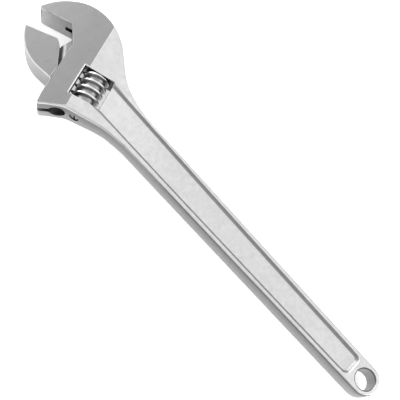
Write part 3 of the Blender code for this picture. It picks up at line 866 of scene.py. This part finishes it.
# %% Turned steel
def turned_steel(name, light, dark, rough, axis_u):
    """Turned steel, painted darker as shade where it lies close to the axis, in the thread's grooves."""
    material, tree, place = new_finish(name)
    x0, y0 = from_head(axis_u, 0) * MM
    parts = add(tree, "ShaderNodeSeparateXYZ", {}, {0: place})
    x, y, z = parts.out("X") - float(x0), parts.out("Y") - float(y0), parts.out("Z") - MID_HEIGHT * MM
    across = x * float(ACROSS[0]) + y * float(ACROSS[1])
    reach = (across * across + z * z).maths("SQRT")
    crest = step_up(tree, reach, 10.4 * MM, 12.6 * MM)
    grime = noise(tree, place, 330.0, 4.0)
    grain = noise(tree, place, 1500.0, 2.0)
    # The grooves are painted darker as shade; the crests keep the bright steel.
    groove_shade = between(tree, grime, dark, [0.5 * (a + b) for a, b in zip(light, dark)])
    bright = between(tree, grime, [0.85 * value for value in light], light)
    colour = blended(tree, (crest * (0.75 + grime * 0.5)).maths("MINIMUM", 1.0), groove_shade, bright)
    end_finish(tree, colour, rough + grime * 0.2 - crest * 0.06, grain * 0.5 + grime * 0.4)
    return material


worm_steel = turned_steel("turned_worm_steel", (0.70, 0.70, 0.695), (0.17, 0.17, 0.174), 0.30, WORM_U)


def small_steel(name, light, dark):
    """Oiled steel for the small parts inside the head."""
    material, tree, place = new_finish(name)
    grime = noise(tree, place, 420.0, 4.0)
    lines = noise(tree, place, 1900.0, 1.0)
    end_finish(tree, between(tree, grime, dark, light), 0.28 + grime * 0.25, lines * 0.5)
    return material


pin_steel = small_steel("oiled_pin_steel", (0.38, 0.38, 0.385), (0.16, 0.16, 0.163))
spring_steel = small_steel("spring_wire_steel", (0.42, 0.42, 0.44), (0.20, 0.20, 0.215))
print("steels:", worm_steel.name, pin_steel.name, spring_steel.name)

# %% [markdown]
# ## The rail and its rack
# The rail is a round bar joined to the jaw by a thin web. Its side next to the worm is milled
# flat and cut with grooves one pitch apart, tilted by the worm's lead. A Geometry Nodes tree
# lays out the grooves along the rail, each one a bar that widens towards its mouth, and one
# Boolean cuts them all.

# %% Grooves along the rail
PITCH = 7.5
THREAD_DEPTH = 3.7
WORM_RADIUS = 12.9
WORM_START = 23.3
WORM_LENGTH = 29.4
MESH_V = 34.3
GEAR_GAP = 0.4
RAIL_RADIUS = 7.0
RAIL_START = 14.0
RAIL_END = 76.0


def rack_tree(sizes):
    tree, given = geometry_tree("rack grooves", sizes)
    spacing = add(tree, "ShaderNodeCombineXYZ", {}, {"Z": given.out("Pitch")})
    row = add(tree, "GeometryNodeMeshLine", {}, {"Count": given.out("Count"), "Offset": spacing})
    cube = add(tree, "GeometryNodeMeshCube", {}, {"Size": (1.0, 1.0, 1.0)})
    corner = add(tree, "ShaderNodeSeparateXYZ", {}, {0: add(tree, "GeometryNodeInputPosition")})
    across, down, along = corner.out("X"), corner.out("Y"), corner.out("Z")
    width = given.out("Root width") + (across + 0.5) * given.out("Flare")
    reach = down * given.out("Reach")
    moved = add(tree, "ShaderNodeCombineXYZ", {}, {
        "X": (across + 0.5) * given.out("Depth"),
        "Y": reach,
        "Z": along * width - reach * given.out("Tilt"),
    })
    bar = add(tree, "GeometryNodeSetPosition", {}, {"Geometry": cube, "Position": moved})
    placed = add(tree, "GeometryNodeInstanceOnPoints", {}, {"Points": row, "Instance": bar})
    end_tree(tree, placed, given)
    return tree


TOOTH_TIP_U = WORM_U - (WORM_RADIUS - THREAD_DEPTH) - GEAR_GAP
TOOTH_ROOT_U = WORM_U - WORM_RADIUS - GEAR_GAP
groove_count = int((RAIL_END - RAIL_START) / PITCH) + 2
first_groove = MESH_V - PITCH * math.ceil((MESH_V - RAIL_START) / PITCH)
rack_sizes = {
    "Pitch": PITCH,
    "Count": groove_count,
    "Root width": 2.5,
    "Flare": 2.3,
    "Depth": 6.0,
    "Reach": 20.0,
    "Tilt": PITCH / (2 * math.pi * (WORM_RADIUS - THREAD_DEPTH / 2)),
}
grooves = grown(
    "grooves", rack_tree(rack_sizes), rack_sizes, jaw_plate, axis_place(TOOTH_ROOT_U, first_groove)
)
rail_length = RAIL_END - RAIL_START
rail = turned(
    "rail", (
        (0, rail_length), (RAIL_RADIUS - 0.8, rail_length), (RAIL_RADIUS - 0.2, rail_length - 0.2),
        (RAIL_RADIUS, rail_length - 0.8), (RAIL_RADIUS, 0.8), (RAIL_RADIUS - 0.2, 0.2),
        (RAIL_RADIUS - 0.8, 0), (0, 0),
    ),
    axis_place(CHANNEL_U, RAIL_START), 72, PLATED,
)
web_corners = (
    (-6.0, 29.0), (CHANNEL_U, 29.0), (CHANNEL_U, 74.5), (8.0, 77.5), (-4.9, 77.5),
    (-10.2, face_v + 0.2), (-11.2, face_v - 6.0),
)
web = prism("web", [from_head(u, v) for u, v in web_corners], 2.5, GROUND_FACE)
flat_corners = ((TOOTH_TIP_U, 0), (TOOTH_TIP_U + 12, 0), (TOOTH_TIP_U + 12, 110), (TOOTH_TIP_U, 110))
rail_flat = prism("rail_flat", [from_head(u, v) for u, v in flat_corners], 15.0, PLATED)
sliding_jaw = joined_or_cut(jaw_head, [web, rail], "UNION")
sliding_jaw = joined_or_cut(sliding_jaw, [rail_flat, grooves], "DIFFERENCE")
print("movable jaw:", len(sliding_jaw.data.polygons), "faces,", groove_count, "grooves")

# %% [markdown]
# ## The worm
# A worm is one ridge wound round a core. Every point of it follows one rule: its radius depends
# only on how far it is, along the axis, from the nearest turn of the ridge. So the tree starts
# from a flat grid, wraps it round the axis and sets each point's radius by that rule. The ends
# are drawn in to the bore, a plain tube closes the inside, and the seam is merged. Modelled from
# a swept ridge and a core, the same worm would need a union with faces that nearly coincide.

# %% Wrap a grid into a thread
def worm_tree(sizes):
    tree, given = geometry_tree("worm thread", sizes)
    rows, around = given.out("Rows"), given.out("Around")
    grid_size = {"Size X": 1.0, "Size Y": 1.0, "Vertices X": rows, "Vertices Y": around + 1}
    grid = add(tree, "GeometryNodeMeshGrid", {}, grid_size)
    spot = add(tree, "ShaderNodeSeparateXYZ", {}, {0: add(tree, "GeometryNodeInputPosition")})
    turn_in = 0.03
    along = (spot.out("X") + 0.5) * (1 + 2 * turn_in) - turn_in
    past_end = (-1 * along).maths("MAXIMUM", along - 1).maths("MAXIMUM", 0.0) / turn_in
    along = along.maths("MAXIMUM", 0.0).maths("MINIMUM", 1.0) * given.out("Length")
    angle = (spot.out("Y") + 0.5) * (2 * math.pi)
    wound = (along + given.out("Start")) / given.out("Pitch") - angle / (2 * math.pi)
    from_ridge = (wound.maths("FRACT") - 0.5).maths("ABSOLUTE") * given.out("Pitch")
    ridge = add(tree, "ShaderNodeMapRange", {"interpolation_type": "SMOOTHSTEP"}, {
        "Value": from_ridge, "From Min": given.out("Foot"), "From Max": given.out("Crest"),
    })
    outer = given.out("Radius") - given.out("Depth") * (1 - ridge)
    ease = given.out("Radius") - given.out("End ease")
    outer = outer.maths("MINIMUM", ease + along).maths("MINIMUM", ease + given.out("Length") - along)
    radius = outer + (given.out("Bore") - outer) * past_end
    moved = add(tree, "ShaderNodeCombineXYZ", {}, {
        "X": radius * angle.maths("COSINE"), "Y": radius * angle.maths("SINE"), "Z": along,
    })
    skin = add(tree, "GeometryNodeSetPosition", {}, {"Geometry": grid, "Position": moved})
    tube_size = {"Vertices": around, "Radius": given.out("Bore"), "Depth": given.out("Length")}
    tube = add(tree, "GeometryNodeMeshCylinder", {"fill_type": "NONE"}, tube_size)
    lift = add(tree, "ShaderNodeCombineXYZ", {}, {"Z": given.out("Length") * 0.5})
    tube = add(tree, "GeometryNodeTransform", {}, {"Geometry": tube, "Translation": lift})
    both = add(tree, "GeometryNodeJoinGeometry", {}, {"Geometry": skin})
    tree.links.new(tube.socket, both.node.inputs[0])
    whole = add(tree, "GeometryNodeMergeByDistance", {}, {"Geometry": both, "Distance": 0.002})
    end_tree(tree, whole, given)
    return tree


worm_sizes = {
    "Radius": WORM_RADIUS,
    "Depth": THREAD_DEPTH,
    "Pitch": PITCH,
    "Length": WORM_LENGTH,
    "Bore": 3.6,
    "Start": PITCH - (MESH_V - WORM_START) % PITCH,
    "Foot": 2.0,
    "Crest": 0.6,
    "End ease": 1.0,
    "Rows": 300,
    "Around": 120,
}
thumb_worm = grown(
    "thumb_worm", worm_tree(worm_sizes), worm_sizes, worm_steel, axis_place(WORM_U, WORM_START)
)
spring_seat = turned(
    "spring_seat",
    ((0, 2), (5.85, 2), (5.85, -8), (0, -8)),
    axis_place(WORM_U, WORM_START + WORM_LENGTH),
)
thumb_worm = joined_or_cut(thumb_worm, [spring_seat], "DIFFERENCE")
print("worm:", len(thumb_worm.data.polygons), "faces")

# %% [markdown]
# ## The pin and the spring
# The pin is turned with eased edges and a screwdriver slot across its head. The spring is a
# length of wire wound on it. A Spiral curve given the wire's section is a coil in three nodes.

# %% Turn the pin
pin = turned(
    "slotted_pin",
    (
        (0, 62.0), (2.6, 62.0), (3.2, 61.4), (3.2, 18.4), (3.0, 18.2), (4.2, 18.2), (4.2, 9.1),
        (4.05, 8.65), (3.6, 8.4), (0, 8.4),
    ),
    axis_place(WORM_U, 0),
)
slot_corners = ((WORM_U - 0.7, 6), (WORM_U + 0.7, 6), (WORM_U + 0.7, 10), (WORM_U - 0.7, 10))
screwdriver_slot = prism("screwdriver_slot", [from_head(u, v) for u, v in slot_corners], 9.0)
slotted_pin = joined_or_cut(pin, [screwdriver_slot], "DIFFERENCE")
print("pin:", len(slotted_pin.data.polygons), "faces")


# %% Wind the spring
def coil_tree(sizes):
    tree, given = geometry_tree("coil spring", sizes)
    coil = add(tree, "GeometryNodeCurveSpiral", {}, {
        "Resolution": given.out("Steps"), "Rotations": given.out("Turns"),
        "Start Radius": given.out("Radius"), "End Radius": given.out("Radius"),
        "Height": given.out("Height"),
    })
    section = {"Resolution": given.out("Round"), "Radius": given.out("Wire") * 0.5}
    section = add(tree, "GeometryNodeCurvePrimitiveCircle", {}, section)
    wire = {"Curve": coil, "Profile Curve": section, "Fill Caps": True}
    end_tree(tree, add(tree, "GeometryNodeCurveToMesh", {}, wire), given)
    return tree


WIRE = 1.1
coil_low = WORM_START + WORM_LENGTH - 8 + WIRE / 2 + 0.4
coil_high = WORM_START + WORM_LENGTH + 0.5 - WIRE / 2
coil_sizes = {
    "Steps": 28, "Turns": 4.0, "Radius": 4.5, "Height": coil_high - coil_low, "Wire": WIRE, "Round": 14,
}
coil_spring = grown(
    "coil_spring", coil_tree(coil_sizes), coil_sizes, spring_steel, axis_place(WORM_U, coil_low)
)
print("spring:", len(coil_spring.data.polygons), "faces")

# %% [markdown]
# ## Dressing and fastening the pieces
# Curved faces are shaded smooth and machined edges stay crisp. Each piece then rides on the body
# that it belongs to and takes the place of the plain solid.

# %% Dress and fasten
def dressed(piece, material, body, node, slot_name, crisp=26):
    piece.data.materials.clear()
    piece.data.materials.append(material)
    piece.data.shade_smooth()
    piece.data.set_sharp_from_angle(angle=math.radians(crisp))
    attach(piece, body)
    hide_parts(node)


dressed(wrench_body, body_plate, "handle_and_fixed_jaw", "body", "forged_steel")
dressed(sliding_jaw, jaw_plate, "sliding_jaw", "movable_jaw", "jaw_steel")
dressed(thumb_worm, worm_steel, "thumb_worm", "worm", "worm_steel", 55)
dressed(slotted_pin, pin_steel, "handle_and_fixed_jaw", "worm_pin", "pin_steel")
dressed(coil_spring, spring_steel, "handle_and_fixed_jaw", "worm_spring", "spring_steel")

# %% [markdown]
# ## The studio
# Polished and satin steel show what surrounds them, so the light matters more than the colour.
# A sky that brightens upwards makes the plate bright and leaves the walls darker, a soft panel
# on each side lights the edges, and the pale floor glows a little, as a light table does.

# %% Floor and light
floor_material, tree, place = new_finish("pale_floor")
speck = noise(tree, place, 60.0, 2.0)
floor_colour = between(tree, speck, (0.93, 0.93, 0.93), (0.95, 0.95, 0.95))
end_finish(tree, floor_colour, 0.85 + speck * 0.05, speck, metallic=0.0, depth=0.00002, glow=0.45)
bpy.ops.mesh.primitive_plane_add(size=8.0, location=(0, 0, -0.0005))
floor = bpy.context.object
floor.name = "studio_floor"
floor.data.materials.append(floor_material)

world = bpy.data.worlds.new("studio")
bpy.context.scene.world = world
world.use_nodes = True
sky = world.node_tree
sky.nodes.clear()
heading = add(sky, "ShaderNodeSeparateXYZ", {}, {0: add(sky, "ShaderNodeTexCoord").out("Generated")})
share = step_up(sky, heading.out("Z") * 0.8 + heading.out("Y") * 0.3, -0.3, 0.6)
tone = between(sky, share, (0.25, 0.25, 0.255), (0.92, 0.92, 0.92))
backdrop = add(sky, "ShaderNodeBackground", {}, {"Color": tone, "Strength": 1.35})
add(sky, "ShaderNodeOutputWorld", {}, {"Surface": backdrop})


def soft_panel(name, place, size, power):
    """A square panel that faces the middle of the wrench."""
    light = bpy.data.lights.new(name, "AREA")
    light.size = size
    light.energy = power
    lamp = bpy.data.objects.new(name, light)
    lamp.location = place
    lamp.rotation_euler = Vector(place).to_track_quat("Z", "Y").to_euler()
    bpy.context.scene.collection.objects.link(lamp)


soft_panel("left_panel", (-1.9, 0.6, 1.0), 1.4, 24.0)
soft_panel("right_panel", (1.9, 0.6, 1.0), 1.4, 28.0)

# %% The camera
EYE = (86.0, -226.8, 563.8)
TURN, TILT, ROLL = 19.17, 23.71, 29.51
lens = bpy.data.cameras.new("studio_camera")
lens.lens = 60.75
lens.sensor_width = 36.0
lens.clip_start = 0.01
camera = bpy.data.objects.new("studio_camera", lens)
camera.matrix_world = Matrix.Translation(Vector(EYE) * MM)
for angle, axis in ((TURN, "Z"), (TILT, "X"), (ROLL, "Z")):
    camera.matrix_world = camera.matrix_world @ Matrix.Rotation(math.radians(angle), 4, axis)
bpy.context.scene.collection.objects.link(camera)
bpy.context.scene.camera = camera
bpy.context.scene.view_settings.view_transform = "Standard"
print("camera, mm:", EYE, "angles:", TURN, TILT, ROLL)
